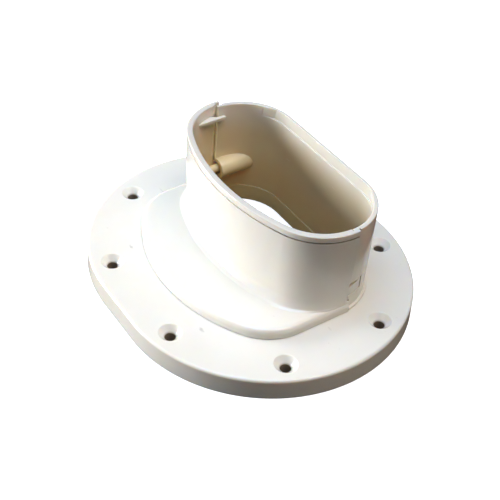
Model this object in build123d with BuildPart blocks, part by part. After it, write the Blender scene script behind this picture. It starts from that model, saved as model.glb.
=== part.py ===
"""Two-piece oblong duct vent base for a boat deck or bulkhead, in millimetres.

The base flange is one moulding: an oblong screw-down plate, a collar that passes
through it, and the rear half of a D-shaped neck.  The front cover is the other
moulding: the front half of the neck and the stepped skirt that rests on the plate.
The cover pushes on from the front and is located by two pins in two sockets,
by two side keys in two side notches and by a ship-lap down each end of the neck.

Frame: origin at the centre of the plate's underside, +X along the plate's length,
+Y towards the neck's flat rear wall, +Z out of the mounting surface.  Front is -Y
and left is -X.
"""
from build123d import *
import math
import os

os.makedirs("parts", exist_ok=True)

# ---- plate ----
PLATE_END_R = 69.8      # end radius at the top face
PLATE_STRAIGHT = 13.2   # half of the straight side
PLATE_FOOT = 0.35       # draft: the foot is wider than the top on every side
PLATE_H = 10.2          # edge height
PLATE_SKIN = 2.8        # top wall
PLATE_RIM_WALL = 2.8    # edge wall
PLATE_ROUND = 1.3       # rounding of the upper edge
HOLLOW_H = PLATE_H - PLATE_SKIN

HOLE_R = 2.5
SINK_R = 5.3            # 90 degree countersink
SINK_ROUND = 0.4
BOSS_R = 5.8            # screw boss under the plate
BOSS_OVERLAP = 0.5      # bosses and webs run this far into the top wall
WEB_L, WEB_W = 9.0, 2.0
WEB_OUT = 4.0           # centre of the web, outwards from the screw
SIDES = (-1, 1)
HOLES = [(side_x * x, side_y * y) for x, y in ((67.4, 25.6), (26.7, 58.4))
         for side_x in SIDES for side_y in SIDES]

# ---- neck ----
NECK_H = 57.5           # rim height above the mounting surface
NECK_X = 28.9           # centres of the end arcs, from the middle
NECK_Y = 14.2           # centres of the end arcs, from the plate's long axis
DRAFT = 1.0             # the neck is this much smaller all round at the underside

REAR_R = 26.1           # outer end radius of the rear half, at NECK_H
REAR_WALL = 2.2
REAR_APEX = -17.9       # foremost point of the collar's outline, carried up to NECK_H
REAR_H = 57.3           # rim of the rear half, a little below the cover's
REAR_ROUND = 0.35
REBATE_Z = 52.0         # above this the flat rear wall is thinned for the duct end
REBATE_WALL = 1.5
REBATE_L = 37.0         # half length of that thinned strip at full depth
REBATE_RUN = 5.0        # its ends then run out to the wall over this length
STEP_Z = 8.6            # below this the passage is a little narrower
STEP = 0.3
LEDGE = 1.2             # width of the small step round the rear of the neck
LEDGE_H = 1.3
LEDGE_ROUND = 0.5

# ---- front cover ----
COVER_R = 27.4          # outer end radius at the rim
COVER_APEX = -18.8      # foremost point of the rim
COVER_WALL = 3.1
COVER_ROUND = 0.5       # rounding of the rim
SEAT_GAP = 0.12         # the skirt rests this far above the plate
COVER_Z = PLATE_H + SEAT_GAP
SEAT_X = -0.5           # the cover sits this far off centre, inside its clearances
SPLAY = 0.7             # its free left arm stands this much further out at the rim
SPLAY_ARC = 0.28        # share of the splay taken at the middle of the left corner arc
SPLAY_LEAN = 0.066      # the left side leans out by this share of the splay, per mm of length
SKIRT_TOP = 15.3
SKIRT_X, SKIRT_Y, SKIRT_R, SKIRT_APEX = 30.3, -10.7, 26.0, -45.6
SKIRT_ROUND = 2.4
SKIRT_WALL = 2.4
SKIRT_HOLLOW_SETBACK = 4.0  # rear end of the skirt's hollow, in front of the tongue
FLARE = 4.0             # how far the neck sweeps forward into the skirt
FLARE_H = 5.5
FLARE_TOP = SKIRT_TOP + FLARE_H
FLARE_STEPS = 9
GROOVE_Z = NECK_H - 3.5
GROOVE_H, GROOVE_DEPTH = 0.7, 0.8

# ---- lap joint ----
SEAM_OUT = 16.6         # rear edge of the cover at the rim and along the skirt
SEAM_IN = 14.2          # front edge of the tongue on the rear half, at the rim
SEAM_RAKE = 0.035       # both edges lean forward going down, per mm of height
RAKE_Z = 15.9           # the lean starts here, just above the skirt
RAKE_TRIM = 0.05        # the raked edge is cut back by this much
SHOULDER_RISE = 0.2     # the rear half's shoulder steps forward this far above RAKE_Z
SEAM_GAP = 0.15
SEAM_STEP = 0.9         # open gap between the cover's rear edge and the rear half
LAP_GAP = 0.6           # gap in front of the right tongue, inside the passage
LAP_LEFT = 12.8         # front end of the shallow relief in front of the left lap, at the rim
RELIEF = 0.3            # depth of that relief
SIDE_CLEARANCE = 0.65
TONGUE_X = 54.0         # outer face of the tongue at the rim
LAP_X = TONGUE_X + SIDE_CLEARANCE   # inner face of the cover's lap at the rim

# ---- pins, keys and tabs ----
SOCKET_X, SOCKET_Z, SOCKET_R, SOCKET_BORE = 49.9, 22.9, 5.1, 2.8
SOCKET_END = 22.0
PIN_R, PIN_END, PIN_CHAMFER = 2.15, 18.5, 0.6
NOTCH_X, NOTCH_Z0, NOTCH_Z1, NOTCH_Y = 49.3, 18.6, 26.1, 24.4
KEY_FOOT, KEY_SEAM_TOP, KEY_REAR_TOP = 18.8, 22.5, 25.8
KEY_FRONT, KEY_REAR = 10.4, 24.2
KEY_R = 25.65           # the key's outer face follows the neck
TAB_Z, TAB_H = 50.6, 1.5
TAB_X, TAB_REAR = 49.9, 17.4        # inner side and rear end
TAB_OUT = 51.7          # outer side where the tab reaches past the seam
TAB_ROOT_X = 57.0       # its root reaches out into the cover's wall
TAB_TAPER = 9.0         # run over which the root widens

# Cutting bodies overrun the part to these limits
BIG = 90.0
ABOVE = NECK_H + 5


# ---- outlines and shared helpers ----
def shrink(z):
    """How much smaller the neck's outline is at height z than at the rim."""
    return DRAFT * (NECK_H - z) / NECK_H


def splay(z):
    """How far the cover's left arm stands out at height z; it is straight below the flare's top."""
    return SPLAY * max(0.0, z - FLARE_TOP) / (NECK_H - FLARE_TOP)


def raked(y, z):
    """Position of a raked seam edge at height z, from its position at the rim."""
    return y - SEAM_RAKE * (NECK_H - z)


def front_tangent(end_x, end_y, end_r, apex):
    """Where the bowed front meets the right end arc, and the front's half angle in radians."""
    rise = end_y - apex
    front_r = (end_x ** 2 + rise ** 2 - end_r ** 2) / (2 * (rise - end_r))
    sine = end_x / (front_r - end_r)
    cosine = math.sqrt(1 - sine * sine)
    return end_x + end_r * sine, end_y - end_r * cosine, math.asin(sine)


def neck_outline(end_x, end_y, end_r, apex):
    """Closed D: flat rear, round ends, bowed front."""
    tan_x, tan_y, turn = front_tangent(end_x, end_y, end_r, apex)
    rear_y = end_y + end_r
    mid_x = end_x + end_r * math.cos(turn / 2)
    mid_y = end_y + end_r * math.sin(turn / 2)
    Line((-end_x, rear_y), (end_x, rear_y))
    ThreePointArc((end_x, rear_y), (mid_x, mid_y), (tan_x, tan_y))
    ThreePointArc((tan_x, tan_y), (0, apex), (-tan_x, tan_y))
    ThreePointArc((-tan_x, tan_y), (-mid_x, mid_y), (-end_x, rear_y))


def cover_outline(end_x, end_y, end_r, apex, back, spread=0.0):
    """Closed D: straight back line and sides, round corners, bowed front.

    The left side stands out by spread.
    """
    tan_x, tan_y, turn = front_tangent(end_x, end_y, end_r, apex)
    mid = -(math.pi / 2 - turn) / 2
    mid_x = end_x + end_r * math.cos(mid)
    mid_y = end_y + end_r * math.sin(mid)
    right = SEAT_X + end_x + end_r
    left = SEAT_X - end_x - end_r - spread
    corner = left - SPLAY_LEAN * spread * (back - end_y)
    Line((corner, back), (right, back))
    Line((right, back), (right, end_y))
    ThreePointArc((right, end_y), (SEAT_X + mid_x, mid_y), (SEAT_X + tan_x, tan_y))
    ThreePointArc((SEAT_X + tan_x, tan_y), (SEAT_X, apex), (SEAT_X - tan_x, tan_y))
    ThreePointArc((SEAT_X - tan_x, tan_y), (SEAT_X - mid_x - SPLAY_ARC * spread, mid_y),
                  (left, end_y))
    Line((left, end_y), (corner, back))


def rear_section(z, inset):
    """Face across the rear half's neck at height z."""
    with BuildSketch(Plane.XY.offset(z)) as section:
        with BuildLine():
            neck_outline(NECK_X, NECK_Y, REAR_R - shrink(z) - inset,
                         REAR_APEX + shrink(z) + inset)
        make_face()
    return section.sketch


def cover_section(z, inset, forward=0.0, back=SEAM_OUT):
    """Face across the cover's neck at height z."""
    with BuildSketch(Plane.XY.offset(z)) as section:
        with BuildLine():
            cover_outline(NECK_X, NECK_Y - forward, COVER_R - shrink(z) - inset,
                          COVER_APEX + shrink(z) + inset - forward, back, spread=splay(z))
        make_face()
    return section.sketch


def rear_loft(bottom, top, inset, mode=Mode.ADD):
    """Loft the rear half's section between two heights, into the open part."""
    loft([rear_section(bottom, inset), rear_section(top, inset)], ruled=True, mode=mode)


def prism(plane, points, length):
    """Polygon drawn on the plane and extruded along its normal."""
    with BuildPart() as body:
        with BuildSketch(plane):
            with BuildLine():
                Polyline(*points, close=True)
            make_face()
        extrude(amount=length)
    return body.part


def ahead_of(edge, bottom, top, start=-BIG, length=2 * BIG):
    """Everything in front of a raked seam edge, from x = start."""
    points = [(-BIG, bottom), (raked(edge, bottom), bottom), (raked(edge, top), top), (-BIG, top)]
    return prism(Plane.YZ.offset(start), points, length)


# ---- tool bodies for the base flange ----
def make_socket():
    """Right locating socket, from the tongue's front edge back into the end wall."""
    with BuildPart() as socket:
        with BuildSketch(Plane.XZ.offset(-raked(SEAM_IN, SOCKET_Z + SOCKET_R))):
            with Locations((SOCKET_X, SOCKET_Z)):
                Circle(SOCKET_R)
        extrude(amount=-30)
        rear_loft(5, NECK_H - 5, 0.7, Mode.INTERSECT)
    return socket.part


def make_side_space():
    """Everything beside the tongue, back to the shoulder behind the cover's edge."""
    shoulder = SEAM_OUT + SEAM_STEP
    shoulder_z = RAKE_Z + SHOULDER_RISE
    outside = prism(Plane.YZ.offset(-BIG), [
        (0, PLATE_H), (shoulder, PLATE_H), (shoulder, shoulder_z),
        (raked(shoulder, RAKE_Z), shoulder_z), (raked(shoulder, ABOVE), ABOVE), (0, ABOVE),
    ], 2 * BIG)
    bottom, top = PLATE_H - 1, ABOVE + 1
    low, high = TONGUE_X - shrink(bottom), TONGUE_X - shrink(top)
    between = prism(Plane.XZ.offset(-BIG),
                    [(-low, bottom), (low, bottom), (high, top), (-high, top)], 2 * BIG)
    with BuildPart() as space:
        add(outside)
        add(between, mode=Mode.SUBTRACT)
    return space.part


def make_rebate():
    """Thinned strip at the top of the flat rear wall, where the duct end seats."""
    run = REBATE_L + REBATE_RUN
    deep_y = NECK_Y + math.sqrt((REAR_R - REBATE_WALL) ** 2 - (REBATE_L - NECK_X) ** 2)
    flush_y = NECK_Y + math.sqrt((REAR_R - REAR_WALL) ** 2 - (run - NECK_X) ** 2)
    lean = (deep_y - flush_y) / REBATE_RUN
    right = [(run + 1, NECK_Y + 10), (run + 1, flush_y - lean),
             (REBATE_L - 2, deep_y + 2 * lean), (REBATE_L - 2, BIG)]
    left = [(-x, y) for x, y in reversed(right)]
    extent = prism(Plane.XY.offset(REBATE_Z), right + left, NECK_H)
    with BuildPart() as rebate:
        rear_loft(REBATE_Z, NECK_H + 1, REBATE_WALL)
        add(extent, mode=Mode.INTERSECT)
    return rebate.part


# ---- base flange ----
def make_base_flange():
    """Plate, collar and rear half of the neck."""
    socket = make_socket()
    front_space = ahead_of(SEAM_IN, PLATE_H, ABOVE)
    side_space = make_side_space()
    rebate = make_rebate()
    with BuildPart() as base:
        foot_r = PLATE_END_R + PLATE_FOOT
        with BuildSketch(Plane.XY):
            SlotOverall(2 * (foot_r + PLATE_STRAIGHT), 2 * foot_r)
        with BuildSketch(Plane.XY.offset(PLATE_H)):
            SlotOverall(2 * (PLATE_END_R + PLATE_STRAIGHT), 2 * PLATE_END_R)
        loft(ruled=True)
        fillet(base.edges().group_by(Axis.Z)[-1], PLATE_ROUND)
        # hollow underside
        hollow_r = PLATE_END_R - PLATE_RIM_WALL
        with BuildSketch(Plane.XY):
            SlotOverall(2 * (hollow_r + PLATE_STRAIGHT), 2 * hollow_r)
        extrude(amount=HOLLOW_H, mode=Mode.SUBTRACT)
        # screw bosses, each tied to the edge wall by a short radial web
        for x, y in HOLES:
            with BuildSketch(Plane.XY):
                with Locations((x, y)):
                    Circle(BOSS_R)
            extrude(amount=HOLLOW_H + BOSS_OVERLAP)
            end_x = math.copysign(PLATE_STRAIGHT, x)
            reach = math.hypot(x - end_x, y)
            angle = math.degrees(math.atan2(y, x - end_x))
            with BuildSketch(Plane.XY):
                with Locations(Location((end_x, 0, 0), (0, 0, angle))):
                    with Locations((reach + WEB_OUT, 0)):
                        Rectangle(WEB_L, WEB_W)
            extrude(amount=HOLLOW_H + BOSS_OVERLAP)
        # small step at the foot of the rear half
        ledge_z = PLATE_H + LEDGE_H
        rear_loft(PLATE_H - 2, ledge_z, -LEDGE)
        fillet(base.edges().filter_by_position(Axis.Z, ledge_z - 0.01, ledge_z + 0.01),
               LEDGE_ROUND)
        # collar and neck, then the passage through them
        rear_loft(0, REAR_H, 0)
        rear_loft(-1, STEP_Z, REAR_WALL + STEP, Mode.SUBTRACT)
        rear_loft(STEP_Z, NECK_H + 1, REAR_WALL, Mode.SUBTRACT)
        fillet(base.edges().filter_by_position(Axis.Z, REAR_H - 0.01, REAR_H + 0.01), REAR_ROUND)
        add(rebate, mode=Mode.SUBTRACT)
        add(socket)
        add(mirror(socket, about=Plane.YZ, mode=Mode.PRIVATE))
        # the space taken by the cover, and the step outside the tongue
        add(front_space, mode=Mode.SUBTRACT)
        add(side_space, mode=Mode.SUBTRACT)
        # side notches for the keys, open towards the front
        for side in SIDES:
            with BuildSketch(Plane.XZ.offset(-NOTCH_Y)):
                with Locations((side * (NOTCH_X + 20), (NOTCH_Z0 + NOTCH_Z1) / 2)):
                    Rectangle(40, NOTCH_Z1 - NOTCH_Z0)
            extrude(amount=15, mode=Mode.SUBTRACT)
        # socket bores
        with BuildSketch(Plane.XZ.offset(-SOCKET_END)):
            with Locations((SOCKET_X, SOCKET_Z), (-SOCKET_X, SOCKET_Z)):
                Circle(SOCKET_BORE)
        extrude(amount=15, mode=Mode.SUBTRACT)
        # countersunk screw holes
        with Locations(*[(x, y, PLATE_H) for x, y in HOLES]):
            CounterSinkHole(HOLE_R, SINK_R, depth=2 * PLATE_H, counter_sink_angle=90)
        circles = base.edges().filter_by(GeomType.CIRCLE)
        mouths = circles.filter_by_position(Axis.Z, PLATE_H - 0.01, PLATE_H + 0.01)
        fillet([edge for edge in mouths if abs(edge.radius - SINK_R) < 0.01], SINK_ROUND)
    return base.part


# ---- details of the front cover ----
def make_fill():
    """Volume inside the cover's outer skin, used to trim what grows from its wall."""
    with BuildPart() as fill:
        loft([cover_section(z, 0.8, back=30) for z in (COVER_Z, FLARE_TOP, NECK_H)], ruled=True)
    return fill.part


def make_pins(fill):
    """Two locating pins, with a lead-in at the tip."""
    with BuildPart() as pins:
        with BuildSketch(Plane.XZ.offset(-PIN_END)):
            with Locations((SEAT_X + SOCKET_X, SOCKET_Z), (SEAT_X - SOCKET_X, SOCKET_Z)):
                Circle(PIN_R)
        extrude(amount=40)
        chamfer(pins.faces().sort_by(Axis.Y)[-2:].edges(), PIN_CHAMFER)
        add(fill, mode=Mode.INTERSECT)
    return pins.part


def make_tabs(fill):
    """Flat tabs just below the rim that reach past the seam inside the rear half."""
    root = raked(SEAM_IN, TAB_Z) - 3 * SEAM_GAP
    outline = [(TAB_X, -4), (TAB_X, TAB_REAR), (TAB_OUT, TAB_REAR), (TAB_OUT, root),
               (TAB_ROOT_X, root - TAB_TAPER), (TAB_ROOT_X, -9)]
    blanks = [prism(Plane.XY.offset(TAB_Z), [(SEAT_X + side * x, y) for x, y in outline], TAB_H)
              for side in SIDES]
    with BuildPart() as tabs:
        for blank in blanks:
            add(blank)
        add(fill, mode=Mode.INTERSECT)
    return tabs.part


def make_keys():
    """Side keys that sit in the side notches; their tops rise towards the rear."""
    side_view = prism(Plane.YZ.offset(-BIG), [
        (0, KEY_FOOT - 1), (KEY_REAR + 1, KEY_FOOT - 1), (KEY_REAR + 1, KEY_REAR_TOP),
        (KEY_REAR, KEY_REAR_TOP), (raked(SEAM_OUT, KEY_SEAM_TOP) - 0.3, KEY_SEAM_TOP),
        (0, KEY_SEAM_TOP),
    ], 2 * BIG)
    arc_front = raked(SEAM_OUT, KEY_FOOT) - 0.5
    arc_stations = (arc_front, (arc_front + KEY_REAR) / 2, KEY_REAR)
    with BuildPart() as keys:
        for side in SIDES:
            start, middle, end = [
                (SEAT_X + side * (NECK_X + math.sqrt(KEY_R ** 2 - (y - NECK_Y) ** 2)), y)
                for y in arc_stations]
            inner = SEAT_X + side * (NOTCH_X + SIDE_CLEARANCE)
            with BuildSketch(Plane.XY.offset(KEY_FOOT)):
                with BuildLine():
                    ThreePointArc(start, middle, end)
                    Polyline(end, (inner, KEY_REAR), (inner, KEY_FRONT),
                             (start[0], KEY_FRONT), start)
                make_face()
            extrude(amount=KEY_REAR_TOP - KEY_FOOT)
        add(side_view, mode=Mode.INTERSECT)
    return keys.part


def drafted_widths(width):
    """A half width at the rim, worked out at z = 0, at the flare's top and above the rim."""
    return [width - shrink(z) for z in (0, FLARE_TOP, ABOVE)]


def make_lap_recess():
    """Recess across the cover's rear that takes the tongue on each side."""
    low, bend, high = drafted_widths(LAP_X)
    block = prism(Plane.XZ.offset(-(SEAM_OUT + 1)), [
        (SEAT_X - low, 0), (SEAT_X + low, 0), (SEAT_X + high, ABOVE),
        (SEAT_X - high - splay(ABOVE), ABOVE), (SEAT_X - bend, FLARE_TOP),
    ], 20)
    kept = [ahead_of(front, -1, ABOVE + 1, start, BIG)
            for start, front in ((-BIG, SEAM_IN - SEAM_GAP), (0, SEAM_IN - LAP_GAP))]
    with BuildPart() as recess:
        add(block)
        for space in kept:
            add(space, mode=Mode.SUBTRACT)
    return recess.part


def make_lap_relief():
    """Shallow relief in the left wall, in front of the lap."""
    low, bend, high = drafted_widths(NECK_X + COVER_R - COVER_WALL + RELIEF)
    block = prism(Plane.XZ.offset(-SEAM_IN), [
        (SEAT_X - low, 0), (SEAT_X - 40, 0), (SEAT_X - 40, ABOVE),
        (SEAT_X - high - splay(ABOVE), ABOVE), (SEAT_X - bend, FLARE_TOP),
    ], 20)
    kept = ahead_of(LAP_LEFT, -1, ABOVE + 1)
    with BuildPart() as relief:
        add(block)
        add(kept, mode=Mode.SUBTRACT)
    return relief.part


def make_rear_rake():
    """Wedge behind the neck's raked rear edge."""
    edge, top = SEAM_OUT - RAKE_TRIM, NECK_H + 1
    return prism(Plane.YZ.offset(-BIG), [
        (raked(edge, RAKE_Z), RAKE_Z), (SEAM_OUT + 1, RAKE_Z),
        (SEAM_OUT + 1, top), (raked(edge, top), top),
    ], 2 * BIG)


def make_groove():
    """Shallow groove under the rim, from one rear edge round to the other."""
    with BuildPart() as groove:
        with BuildSketch(Plane.XY.offset(GROOVE_Z)):
            with BuildLine():
                cover_outline(NECK_X, NECK_Y, COVER_R + 2, COVER_APEX - 2, SEAM_OUT + 3)
            make_face()
            with BuildLine():
                cover_outline(NECK_X, NECK_Y, COVER_R - GROOVE_DEPTH, COVER_APEX + GROOVE_DEPTH,
                              SEAM_OUT + 4, spread=splay(GROOVE_Z))
            make_face(mode=Mode.SUBTRACT)
        extrude(amount=GROOVE_H)
    return groove.part


# ---- front cover ----
def make_front_cover():
    """Stepped skirt and front half of the neck."""
    fill = make_fill()
    cuts = [make_lap_recess(), make_lap_relief(), make_rear_rake(), make_groove()]
    growths = [make_pins(fill), make_tabs(fill), make_keys()]
    # the flare is a quarter ellipse, steepest where it meets the neck
    flare = []
    for i in range(FLARE_STEPS + 1):
        t = i / FLARE_STEPS
        forward = FLARE * (1 - math.sqrt(1 - (1 - t) ** 2))
        flare.append(cover_section(SKIRT_TOP + FLARE_H * t, 0, forward))

    with BuildPart() as cover:
        # skirt, rounded along its top except at the rear
        with BuildSketch(Plane.XY.offset(COVER_Z)):
            with BuildLine():
                cover_outline(SKIRT_X, SKIRT_Y, SKIRT_R, SKIRT_APEX, SEAM_OUT)
            make_face()
        extrude(amount=SKIRT_TOP - COVER_Z)
        fillet(cover.edges().group_by(Axis.Z)[-1].sort_by(Axis.Y)[:-1], SKIRT_ROUND)
        # neck, sweeping forward into the skirt
        loft([cover_section(z, 0, FLARE) for z in (COVER_Z, SKIRT_TOP)], ruled=True)
        loft(flare + [cover_section(NECK_H, 0)], ruled=True)
        # duct passage, and the hollow under the skirt
        loft([cover_section(z, COVER_WALL, back=SEAM_OUT + 5)
              for z in (COVER_Z - 1, FLARE_TOP, NECK_H + 1)], ruled=True, mode=Mode.SUBTRACT)
        with BuildSketch(Plane.XY.offset(COVER_Z)):
            with BuildLine():
                cover_outline(SKIRT_X, SKIRT_Y, SKIRT_R - SKIRT_WALL, SKIRT_APEX + SKIRT_WALL,
                              SEAM_IN - SKIRT_HOLLOW_SETBACK)
            make_face()
        extrude(amount=SKIRT_TOP - SKIRT_WALL - COVER_Z, mode=Mode.SUBTRACT)
        rim = cover.edges().filter_by_position(Axis.Z, NECK_H - 0.01, NECK_H + 0.01)
        fillet([edge for edge in rim if edge.center().Y < SEAM_OUT - 0.01], COVER_ROUND)
        for cut in cuts:
            add(cut, mode=Mode.SUBTRACT)
        for growth in growths:
            add(growth)
    return cover.part


for name, make in (("base_flange", make_base_flange), ("front_cover", make_front_cover)):
    piece = make()
    piece.label = name
    export_step(piece, f"parts/{name}.step")
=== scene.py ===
"""Looks of a two-piece oblong duct vent base: ivory moulded plastic on a pale floor.

Metres, +Z up. The plate lies on the floor and the duct passage rises from it to the rim, its
long side along X. The cover is the front part (-Y); the mouldings meet behind it in side laps.
"""
import math
from functools import reduce

import bpy
from mathutils import Matrix, Vector

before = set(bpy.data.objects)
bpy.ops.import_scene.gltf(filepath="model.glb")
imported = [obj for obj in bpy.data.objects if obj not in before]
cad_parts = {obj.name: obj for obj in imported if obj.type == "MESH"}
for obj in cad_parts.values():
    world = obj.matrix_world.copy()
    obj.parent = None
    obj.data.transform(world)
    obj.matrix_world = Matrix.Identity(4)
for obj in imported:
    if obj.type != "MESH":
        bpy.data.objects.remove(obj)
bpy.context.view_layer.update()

scene = bpy.context.scene

# ---- places on the mouldings ---------------------------------------------------
END_X, END_Y = 0.0289, 0.0142           # centres of the passage's rounded ends
FRONT_X = 0.0340                        # in front of END_Y, up to here, the ends run straight
BOW_Y, BOW_RADIUS = 0.0860, 0.1033      # arc of the bowed front wall, centred at x = 0
BASE_REACH = (0.0250, 0.0250)           # passage beyond END_X on the left and the right
COVER_REACH = (0.0263, 0.0252)
KEY_Y, KEY_Z = 0.0136, 0.0262           # the cover's keys lie behind and below these
GROOVE_Z = (0.0540, 0.0547)             # groove under the cover's rim
SOFT = 0.0001                           # soft edge of the groove's painted shade
SEAM_Y, SEAM_LEAN = 0.01219, 0.035      # seam of the left lap: y at z = 0, and dy/dz
TAB_Z = (0.0504, 0.0523)                # tab across the seam
HOLES = ((0.0674, 0.0256), (0.0267, 0.0584))    # screw holes: |x|, |y|

# scuffs: centre (x, y, z), length, width, turn (radians), strength
PLATE_SCUFFS = (
    ((-0.0311, -0.0460, 0.0102), 0.0017, 0.0009, 0.6, 0.42),
    ((0.0324, -0.0460, 0.0102), 0.0019, 0.0010, 0.2, 0.42),
    ((-0.0620, -0.0120, 0.0102), 0.0026, 0.0005, 1.0, 0.20),
    ((0.0600, 0.0030, 0.0102), 0.0018, 0.0005, 1.1, 0.18),
    ((-0.0150, 0.0580, 0.0102), 0.0024, 0.0006, -0.4, 0.20),
)
SKIRT_SCUFFS = (
    ((-0.0150, -0.0448, 0.0140), 0.0016, 0.0009, 0.3, 0.40),
)
SCUFF_HEIGHT = 0.004

# scratch directions: turn (radians), shift of the pattern
SCRATCHES = ((0.5, 3.1), (-0.9, 7.7))
SCRATCH_SHIFT_Y = 0.37                  # y shift as a share of the x shift
SCRATCH_STRETCH = (90.0, 2300.0, 900.0)

# ---- colours and strengths -----------------------------------------------------
IVORY = (0.82, 0.78, 0.70, 1)
FLOW_SHADE = (0.975, 0.970, 0.950)      # multiplies the ivory in flow marks
CLOUD_SHADE = (0.975, 0.97, 0.955)      # and in cloudy patches
# painted shade deep in the passage, warmest at its bottom
PASSAGE_SHADE = (0.695, 0.57, 0.325, 1)
WARM_BOTTOM_SHADE = (0.76, 0.56, 0.20, 1)
# painted shade on the top of the rim
RIM_TOP_SHADE = (0.50, 0.485, 0.45, 1)
# painted shade in the corners
CORNER_SHADE = (0.34, 0.28, 0.19, 1)
# painted light on the strip beside the left lap
PAINTED_LIGHT_STRIP = (0.95, 0.86, 0.62, 1)
STEP_DIRT = (0.24, 0.19, 0.12, 1)
# painted shade deep in the screw holes
BORE_SHADE = (0.17, 0.12, 0.075, 1)
# painted shade in the groove
GROOVE_SHADE = (0.25, 0.19, 0.12, 1)
SPECK = (0.42, 0.36, 0.27, 1)
SCRATCH = (0.60, 0.56, 0.48, 1)
SCUFF = (0.36, 0.34, 0.30, 1)
# rubbed edges, partly a painted edge highlight
WORN_EDGE_HIGHLIGHT = (0.93, 0.92, 0.88, 1)
# painted glow for light leaking through the left lap
LEAK_GLOW = (0.40, 0.285, 0.135, 1)

# strength of the painted corner shade, and how much of it is cut inside the passage
CORNER_SHADE_AMOUNT, CORNER_SHADE_CUT_INSIDE = 0.28, 0.18
WORN_CUT_DEEP = 0.85                    # how far edge wear and the painted edge highlight fade deep in the passage
LAP_LEAK = 0.14                         # painted glow standing in for light through the thin, open left lap
# roughness added in corners and scratches, and taken off worn edges
CORNER_ROUGH, SCRATCH_ROUGH, WORN_SMOOTH = 0.18, 0.22, 0.06

FLOOR_SIZE, FLOOR_Z = 6.0, -0.0002
PAPER, PAPER_SHADE = (0.90, 0.90, 0.895, 1), (0.885, 0.885, 0.88, 1)
FLOOR_BOUNCE = (0.04, 0.04, 0.04, 1)    # floor colour for all but camera rays
FLOOR_LIFT = 0.62                       # glow for camera rays


class Tree:
    """Builds the node tree of a material or world."""

    def __init__(self, owner):
        owner.use_nodes = True
        self.tree = owner.node_tree
        self.tree.nodes.clear()

    def node(self, kind, inputs=None, **settings):
        """Add a node; each input, by name or index, takes a value or a socket to link."""
        node = self.tree.nodes.new(kind)
        for key, value in settings.items():
            setattr(node, key, value)
        for key, value in (inputs or {}).items():
            if isinstance(value, bpy.types.NodeSocket):
                self.tree.links.new(value, node.inputs[key])
            else:
                node.inputs[key].default_value = value
        return node

    def calc(self, operation, a, b=0.0, clamp=False):
        inputs = {0: a, 1: b, 2: 0.0}
        return self.node("ShaderNodeMath", inputs, operation=operation, use_clamp=clamp).outputs[0]

    def fold(self, operation, values):
        return reduce(lambda a, b: self.calc(operation, a, b), values)

    def product(self, *factors):
        return self.fold("MULTIPLY", factors)

    def invert(self, value):
        return self.calc("SUBTRACT", 1.0, value)

    def vector(self, operation, a, b=(0, 0, 0)):
        node = self.node("ShaderNodeVectorMath", {0: a, 1: b}, operation=operation)
        return node.outputs["Vector" if operation == "SUBTRACT" else "Value"]

    def ramp(self, value, span, to=(0.0, 1.0), smooth=True):
        """Map the span onto the range `to`, clamped."""
        inputs = dict(enumerate((value, *span, *to)))
        kind = "SMOOTHSTEP" if smooth else "LINEAR"
        return self.node("ShaderNodeMapRange", inputs, interpolation_type=kind).outputs[0]

    def mix(self, colour, other, *masks, amount=None):
        """Blend in the other colour by the product of the masks and the amount."""
        factors = masks if amount is None else (*masks, amount)
        # sockets 6 and 7 are the colour inputs, output 2 the colour result
        inputs = {0: self.product(*factors), 6: colour, 7: other}
        return self.node("ShaderNodeMix", inputs, data_type="RGBA").outputs[2]

    def noise(self, place, scale, detail=3.0, rough=0.55, distort=0.0):
        return self.node("ShaderNodeTexNoise", {
            "Vector": place, "Scale": scale, "Detail": detail,
            "Roughness": rough, "Distortion": distort}).outputs[0]

    def join(self, x, y):
        return self.node("ShaderNodeCombineXYZ", {0: x, 1: y, 2: 0.0}).outputs[0]

    def split(self, vector):
        return self.node("ShaderNodeSeparateXYZ", {0: vector}).outputs

    def mapping(self, vector, shift=(0, 0, 0), turn=0, scale=(1, 1, 1)):
        return self.node("ShaderNodeMapping", {
            "Vector": vector, "Location": shift, "Rotation": (0, 0, turn),
            "Scale": scale}).outputs[0]

    def coordinates(self):
        return self.node("ShaderNodeTexCoord").outputs["Object"]

    def normal(self):
        return self.node("ShaderNodeNewGeometry").outputs["Normal"]

    def bump(self, height, strength, distance, under=None, invert=False):
        inputs = {"Height": height, "Strength": strength, "Distance": distance}
        if under:
            inputs["Normal"] = under
        return self.node("ShaderNodeBump", inputs, invert=invert).outputs[0]

    def principled(self, inputs):
        shader = self.node("ShaderNodeBsdfPrincipled", inputs).outputs[0]
        self.node("ShaderNodeOutputMaterial", {"Surface": shader})


# ---- ivory plastic -------------------------------------------------------------
def passage_mask(tree, x, y, z, reach, keyed):
    """1 inside the duct passage: between its two ends and behind the bowed front wall."""
    along = tree.calc("SUBTRACT", tree.calc("ABSOLUTE", x), END_X)
    front = tree.product(tree.calc("LESS_THAN", tree.calc("ABSOLUTE", x), FRONT_X),
                         tree.calc("LESS_THAN", y, END_Y))
    across = tree.product(tree.calc("SUBTRACT", y, END_Y), tree.invert(front))
    end = tree.vector("LENGTH", tree.join(tree.calc("MAXIMUM", along, 0.0), across))
    bow = tree.vector("LENGTH", tree.join(x, tree.calc("SUBTRACT", y, BOW_Y)))
    limit = tree.ramp(x, span=(-0.0010, 0.0010), to=reach, smooth=False)
    inside = tree.product(tree.calc("LESS_THAN", end, limit),
                          tree.calc("LESS_THAN", bow, BOW_RADIUS))
    if keyed:
        # the locating keys show on the outside, so they keep the outer colour
        key = tree.product(tree.calc("GREATER_THAN", y, KEY_Y), tree.calc("LESS_THAN", z, KEY_Z))
        inside = tree.product(inside, tree.invert(key))
    return inside


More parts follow.
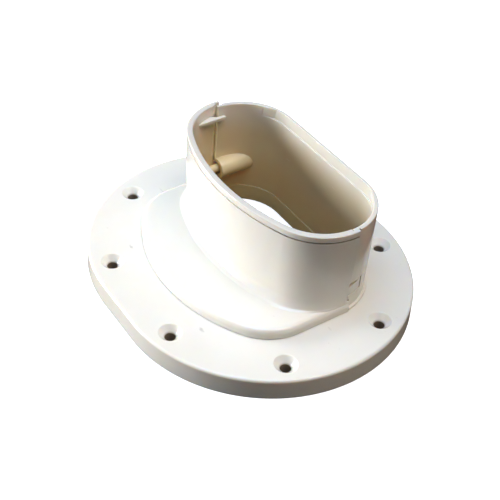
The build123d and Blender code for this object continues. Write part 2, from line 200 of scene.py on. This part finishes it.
def lap_strip(tree, x, y, z):
    """The strip beside the left lap, painted lighter, and the painted glow for the light that
    leaks through it.
    """
    seam_y = tree.calc("ADD", tree.product(z, SEAM_LEAN), SEAM_Y)
    seam = tree.calc("SUBTRACT", y, seam_y)
    strip = tree.product(
        tree.ramp(seam, span=(-0.0017, -0.0012)),
        tree.ramp(seam, span=(0.0003, 0.0007), to=(1.0, 0.0)),
        tree.ramp(x, span=(-0.0505, -0.0495), to=(1.0, 0.0)),
        tree.ramp(tree.calc("ABSOLUTE", x), span=(0.0556, 0.0560), to=(1.0, 0.0)),
        tree.product(tree.ramp(z, span=(0.0270, 0.0300)),
                     tree.ramp(z, span=(0.0545, 0.0565), to=(1.0, 0.0))),
        tree.calc("ADD", tree.calc("LESS_THAN", z, TAB_Z[0]),
                  tree.calc("GREATER_THAN", z, TAB_Z[1])))
    return strip, tree.product(strip, tree.ramp(seam, span=(-0.0010, -0.0002), to=(0.30, 1.0)))


def bore_mask(tree, x, y, z, holes):
    flat = tree.join(tree.calc("ABSOLUTE", x), tree.calc("ABSOLUTE", y))
    nearest = tree.fold("MINIMUM", [tree.vector("DISTANCE", flat, (*hole, 0)) for hole in holes])
    return tree.product(tree.ramp(nearest, span=(0.0026, 0.0034), to=(1.0, 0.0)),
                        tree.ramp(z, span=(0.0066, 0.0082), to=(1.0, 0.0)))


def groove_shade_mask(tree, x, z, inside, place, groove):
    """A patchy line of painted shade in the groove under the rim, fainter on the lit left side."""
    low, high = groove
    return tree.product(
        tree.ramp(z, span=(low - SOFT, low)),
        tree.ramp(z, span=(high, high + SOFT), to=(1.0, 0.0)),
        tree.invert(inside),
        tree.ramp(x, span=(0.0200, 0.0400), to=(0.12, 1.0)),
        tree.ramp(tree.noise(place, scale=90.0), span=(0.3, 0.7), to=(0.55, 0.85)))


def scratch_mask(tree, coord):
    """Broken hairlines in two directions."""
    lines = []
    for turn, shift in SCRATCHES:
        stretched = tree.mapping(coord, shift=(shift, shift * SCRATCH_SHIFT_Y, 0), turn=turn,
                                 scale=SCRATCH_STRETCH)
        hairline = tree.noise(stretched, scale=1.0, detail=1.0, rough=0.4)
        breaks = tree.noise(tree.mapping(coord, shift=(shift, 0, 0)), scale=85.0, detail=2.0)
        lines.append(tree.product(tree.ramp(hairline, span=(0.735, 0.775)),
                                  tree.ramp(breaks, span=(0.52, 0.66))))
    return tree.fold("MAXIMUM", lines)


def scuff_mask(tree, coord, scuffs):
    """Ragged ovals."""
    marks = []
    for centre, length, width, turn, strength in scuffs:
        local = tree.mapping(tree.vector("SUBTRACT", coord, centre), turn=-turn,
                             scale=(1 / length, 1 / width, 1 / SCUFF_HEIGHT))
        ragged = tree.ramp(tree.noise(coord, scale=1500.0, detail=2.0), span=(0.25, 0.75),
                           to=(-0.45, 0.45), smooth=False)
        edge = tree.calc("ADD", tree.vector("LENGTH", local), ragged)
        marks.append(tree.ramp(edge, span=(0.45, 1.0), to=(strength, 0.0)))
    return tree.fold("MAXIMUM", marks)


def wear_and_highlight_mask(tree, place, rounded, corner, deep):
    """Exposed edges, where the rounded normal leaves the true one: rubbed wear, partly a painted
    edge highlight.
    """
    same = tree.vector("DOT_PRODUCT", rounded, tree.normal())
    patches = tree.noise(place, scale=190.0, rough=0.6)
    return tree.product(
        tree.ramp(same, span=(0.90, 0.995), to=(1.0, 0.0)),
        tree.invert(corner),
        tree.ramp(patches, span=(0.35, 0.65), to=(0.25, 1.0)),
        tree.invert(tree.product(deep, WORN_CUT_DEEP)))


def plastic_roughness(tree, place, corner, scratches, wear_and_highlight):
    fine = tree.noise(place, scale=330.0, detail=4.0, rough=0.6)
    broad = tree.noise(place, scale=22.0)
    rough = tree.fold("ADD", (
        tree.ramp(fine, span=(0.25, 0.75), to=(0.13, 0.18), smooth=False),
        tree.ramp(broad, span=(0.30, 0.75), to=(0.0, 0.04)),
        tree.product(corner, CORNER_ROUGH),
        tree.product(scratches, SCRATCH_ROUGH)))
    return tree.calc("SUBTRACT", rough, tree.product(wear_and_highlight, WORN_SMOOTH), clamp=True)


def plastic_normal(tree, place, rounded, scratches):
    """Sink waviness, then mould grain, then scratches."""
    grain = tree.noise(place, scale=2600.0, rough=0.6)
    wave = tree.noise(place, scale=48.0, detail=2.0, rough=0.4)
    normal = tree.bump(wave, strength=0.5, distance=0.00030, under=rounded)
    normal = tree.bump(grain, strength=0.30, distance=0.000022, under=normal)
    return tree.bump(scratches, strength=0.5, distance=0.00002, under=normal, invert=True)


def moulded_plastic(name, offset, scuffs, reach, holes=(), groove=None):
    """Semi-gloss ivory moulding, aged and handled, with painted shade and painted light; the
    offset shifts its patterns.
    """
    material = bpy.data.materials.new(name)
    tree = Tree(material)
    coord = tree.coordinates()
    place = tree.mapping(coord, shift=offset)
    x, y, z = tree.split(coord)

    # slow flow marks and cloudy patches
    flow_ivory, cloud_ivory = (
        (*(a * b for a, b in zip(IVORY, shade)), 1) for shade in (FLOW_SHADE, CLOUD_SHADE))
    flow = tree.noise(place, scale=28.0, detail=4.0, rough=0.5, distort=0.6)
    cloudy = tree.noise(place, scale=140.0, rough=0.6)
    colour = tree.mix(IVORY, flow_ivory, tree.ramp(flow, span=(0.30, 0.72)))
    colour = tree.mix(colour, cloud_ivory, tree.ramp(cloudy, span=(0.40, 0.80), to=(0.0, 0.30)))

    # painted shade: the passage is duller and warmer the deeper it goes, warmest at the bottom
    inside = passage_mask(tree, x, y, z, reach, keyed=groove is not None)
    deep = tree.product(inside, tree.ramp(z, span=(0.0560, 0.0380)))
    colour = tree.mix(colour, PASSAGE_SHADE, deep, amount=0.78)
    # painted warm shade, strongest at the bottom of the passage
    lowest = tree.ramp(z, span=(0.0360, 0.0160), to=(0.0, 0.45))
    colour = tree.mix(colour, WARM_BOTTOM_SHADE, inside, lowest)
    # painted shade: the top of the rim is darkened
    colour = tree.mix(colour, RIM_TOP_SHADE, tree.ramp(z, span=(0.0567, 0.0571), to=(0.0, 0.42)))

    # painted shade: patchy darkening in the corners, from ambient occlusion
    near = tree.node("ShaderNodeAmbientOcclusion", {"Distance": 0.0022}, samples=5)
    corner = tree.ramp(near.outputs["AO"], span=(0.30, 0.80), to=(1.0, 0.0))
    patches = tree.noise(place, scale=260.0, detail=4.0, rough=0.65)
    patchy = tree.ramp(patches, span=(0.30, 0.70), to=(0.35, 1.0))
    cut = tree.product(inside, CORNER_SHADE_CUT_INSIDE)
    colour = tree.mix(colour, CORNER_SHADE, corner, patchy, tree.calc("SUBTRACT", CORNER_SHADE_AMOUNT, cut))

    # painted light: a paler strip beside the left lap
    strip, leak = lap_strip(tree, x, y, z)
    colour = tree.mix(colour, PAINTED_LIGHT_STRIP, strip, amount=0.60)

    # dirt on the small step low in the passage; painted shade deep in the screw holes and in the
    # groove
    step = tree.product(tree.ramp(tree.split(tree.normal())[2], span=(0.20, 0.60)),
                        tree.ramp(z, span=(0.0110, 0.0125), to=(1.0, 0.0)))
    colour = tree.mix(colour, STEP_DIRT, inside, step, amount=0.70)
    if holes:
        colour = tree.mix(colour, BORE_SHADE, bore_mask(tree, x, y, z, holes), amount=0.85)
    if groove:
        colour = tree.mix(colour, GROOVE_SHADE, groove_shade_mask(tree, x, z, inside, place, groove))

    specks = tree.noise(place, scale=620.0, detail=2.0, rough=0.7)
    colour = tree.mix(colour, SPECK, tree.ramp(specks, span=(0.725, 0.78)), amount=0.22)
    scratches = scratch_mask(tree, coord)
    colour = tree.mix(colour, SCRATCH, scratches, amount=0.30)
    colour = tree.mix(colour, SCUFF, scuff_mask(tree, coord, scuffs))

    # exposed edges are rubbed lighter and smoother; the lighter colour is partly a painted edge
    # highlight
    rounded = tree.node("ShaderNodeBevel", {"Radius": 0.00035}, samples=4).outputs[0]
    wear_and_highlight = wear_and_highlight_mask(tree, place, rounded, corner, deep)
    colour = tree.mix(colour, WORN_EDGE_HIGHLIGHT, wear_and_highlight, amount=0.40)

    tree.principled({
        "Base Color": colour,
        "Roughness": plastic_roughness(tree, place, corner, scratches, wear_and_highlight),
        "Normal": plastic_normal(tree, place, rounded, scratches),
        "IOR": 1.55,
        "Specular IOR Level": 0.5,
        # painted glow: emission standing in for light through the left lap
        "Emission Color": LEAK_GLOW,
        "Emission Strength": tree.product(leak, LAP_LEAK),
        "Subsurface Weight": 0.45,
        "Subsurface Radius": (1.0, 0.62, 0.30),
        "Subsurface Scale": 0.0030,
    })
    material.diffuse_color = IVORY
    material.roughness = 0.35
    return material


base_look = moulded_plastic("ivory_base_moulding", offset=(0.3, 1.7, 0.9), scuffs=PLATE_SCUFFS,
                            reach=BASE_REACH, holes=HOLES)
cover_look = moulded_plastic("ivory_cover_moulding", offset=(4.1, 0.2, 2.6), scuffs=SKIRT_SCUFFS,
                             reach=COVER_REACH, groove=GROOVE_Z)
for name, look, slot in (("base_flange", base_look, "base_moulding"),
                         ("front_cover", cover_look, "cover_moulding")):
    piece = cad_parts[name]
    piece.data.materials.clear()
    piece.data.materials.append(look)


# ---- floor ---------------------------------------------------------------------
def pale_paper():
    """Pale where it is seen, but it throws little light back up at the object."""
    material = bpy.data.materials.new("pale_paper")
    tree = Tree(material)
    coord = tree.coordinates()
    fibre = tree.noise(coord, scale=900.0, detail=4.0, rough=0.6)
    patches = tree.ramp(tree.noise(coord, scale=9.0), span=(0.3, 0.7))
    seen = tree.node("ShaderNodeLightPath").outputs["Is Camera Ray"]
    tree.principled({
        "Base Color": tree.mix(FLOOR_BOUNCE, tree.mix(PAPER, PAPER_SHADE, patches), seen),
        "Normal": tree.bump(fibre, strength=0.12, distance=0.0001),
        "Roughness": 0.85,
        "Specular IOR Level": 0.2,
        "Emission Color": (1, 1, 1, 1),
        "Emission Strength": tree.product(seen, FLOOR_LIFT),
    })
    return material


bpy.ops.mesh.primitive_plane_add(size=FLOOR_SIZE, location=(0, 0, FLOOR_Z))
floor = bpy.context.object
floor.name = "floor"
floor.data.materials.append(pale_paper())

# ---- light ---------------------------------------------------------------------
LIGHT_TARGET, LIGHT_DISTANCE = Vector((0, 0, 0.02)), 1.3
COOL, WARM, BLUE = (0.95, 0.965, 1.0), (1.0, 0.82, 0.64), (0.36, 0.63, 1.0)
# name, azimuth and elevation (degrees), size, watts, colour
SOFTBOXES = (
    ("key", -42.0, 12.0, (0.55, 0.50), 22.6, COOL),
    ("key_low", -60.0, 5.0, (0.50, 0.50), 9.2, COOL),
    ("fill_front", 0.0, 65.0, (0.80, 0.80), 2.2, WARM),
    ("fill_back", 122.0, 65.0, (0.80, 0.80), 10.8, WARM),
    ("overhead", 0.0, 88.0, (0.80, 0.80), 12.2, BLUE),
)


def direction(azimuth, elevation):
    """Unit vector from the object, in degrees: azimuth 0 is the front (-Y), 90 is +X."""
    a, e = math.radians(azimuth), math.radians(elevation)
    return Vector((math.sin(a) * math.cos(e), -math.cos(a) * math.cos(e), math.sin(e)))


def softbox(name, azimuth, elevation, size, watts, colour):
    """An area light aimed at the target."""
    data = bpy.data.lights.new(name, "AREA")
    data.shape = "RECTANGLE"
    data.size, data.size_y = size
    data.energy = watts
    data.color = colour
    light = bpy.data.objects.new(name, data)
    scene.collection.objects.link(light)
    away = direction(azimuth, elevation)
    light.location = LIGHT_TARGET + away * LIGHT_DISTANCE
    light.rotation_mode = "QUATERNION"
    light.rotation_quaternion = (-away).to_track_quat("-Z", "Y")


world = bpy.data.worlds.new("studio")
scene.world = world
tree = Tree(world)
sky = tree.node("ShaderNodeBackground", {"Color": (1.0, 0.97, 0.94, 1), "Strength": 0.0})
tree.node("ShaderNodeOutputWorld", {"Surface": sky.outputs[0]})
for row in SOFTBOXES:
    softbox(*row)

# ---- camera --------------------------------------------------------------------
SENSOR_MM, LENS_MM = 36.0, 72.747576
ROLL = math.radians(4.218)
CAMERA_DISTANCE = 0.48606
SLIDE_RIGHT, SLIDE_UP = 0.001204, 0.008955      # along the camera's own axes

back = direction(azimuth=53.747, elevation=40.905)
level_right = Vector((0, 0, 1)).cross(back).normalized()
level_up = back.cross(level_right)
right = math.cos(ROLL) * level_right + math.sin(ROLL) * level_up
up = -math.sin(ROLL) * level_right + math.cos(ROLL) * level_up
stand = back * CAMERA_DISTANCE + right * SLIDE_RIGHT + up * SLIDE_UP

lens = bpy.data.cameras.new("camera")
lens.sensor_width = SENSOR_MM
lens.lens = LENS_MM
lens.clip_start, lens.clip_end = 0.01, 20.0
camera = bpy.data.objects.new("camera", lens)
scene.collection.objects.link(camera)
turned = Matrix((right, up, back)).transposed().to_4x4()
camera.matrix_world = Matrix.Translation(stand) @ turned
scene.camera = camera

scene.view_settings.view_transform = "Standard"
scene.view_settings.look = "None"
scene.view_settings.exposure = 0.0
scene.view_settings.gamma = 1.0
